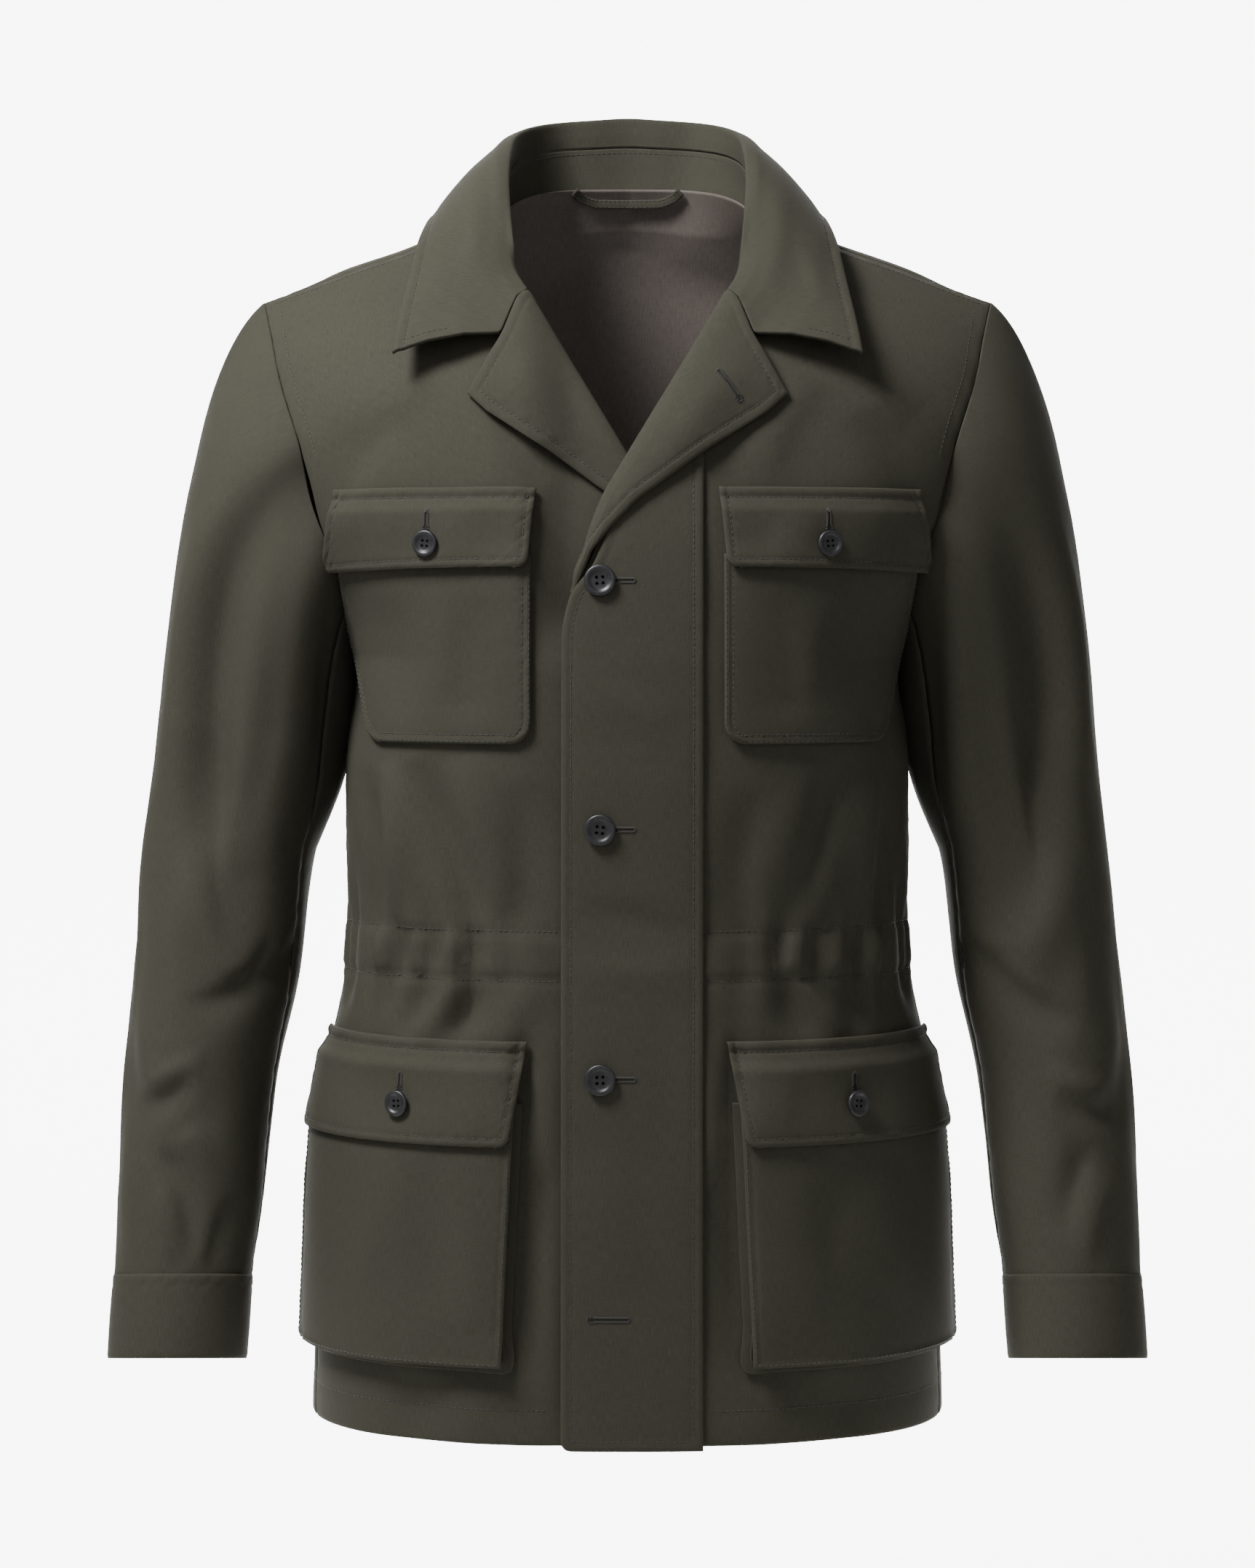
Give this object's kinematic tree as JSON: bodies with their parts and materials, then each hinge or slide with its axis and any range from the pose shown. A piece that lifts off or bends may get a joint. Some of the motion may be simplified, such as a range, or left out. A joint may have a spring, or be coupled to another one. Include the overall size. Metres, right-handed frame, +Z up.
{
  "type": "field jacket",
  "caption": "Worn-form field jacket with a folded collar and lapels, buttoned placket, patch chest pockets, bellows lower pockets, flaps, drawn waist and set-in sleeves.",
  "frame": {"origin": "midway between the two shoulder points, at the height where the wearer's shoulders carry the jacket", "axes": "+Z up, the front faces -Y, +X towards the wearer's left arm"},
  "size_m": [0.6466, 0.2654, 0.8259],
  "materials": {
    "shell_cloth": "matte heathered olive grey plain weave",
    "lining_cloth": "smooth taupe lining",
    "button_resin": "dark grey marbled, semi-gloss"
  },
  "bodies": {
    "root": {"back": "shell_cloth", "front_left": "shell_cloth", "front_right": "shell_cloth", "placket": "shell_cloth", "lapel_left": "shell_cloth", "lapel_right": "shell_cloth", "collar_leaf": "shell_cloth", "collar_stand": "shell_cloth", "back_lining": "lining_cloth", "hanger_loop": "shell_cloth", "chest_pocket_left": "shell_cloth", "chest_pocket_right": "shell_cloth", "chest_flap_left": "shell_cloth", "chest_flap_right": "shell_cloth", "lower_pocket_left": "shell_cloth", "lower_pocket_right": "shell_cloth", "lower_gusset_left": "shell_cloth", "lower_gusset_right": "shell_cloth", "lower_flap_left": "shell_cloth", "lower_flap_right": "shell_cloth", "sleeve_top_left": "shell_cloth", "sleeve_top_right": "shell_cloth", "sleeve_under_left": "shell_cloth", "sleeve_under_right": "shell_cloth", "cuff_left": "shell_cloth", "cuff_right": "shell_cloth", "button_front_1": "button_resin", "button_front_2": "button_resin", "button_front_3": "button_resin", "button_chest_left": "button_resin", "button_chest_right": "button_resin", "button_lower_left": "button_resin", "button_lower_right": "button_resin"}
  },
  "joints": []
}
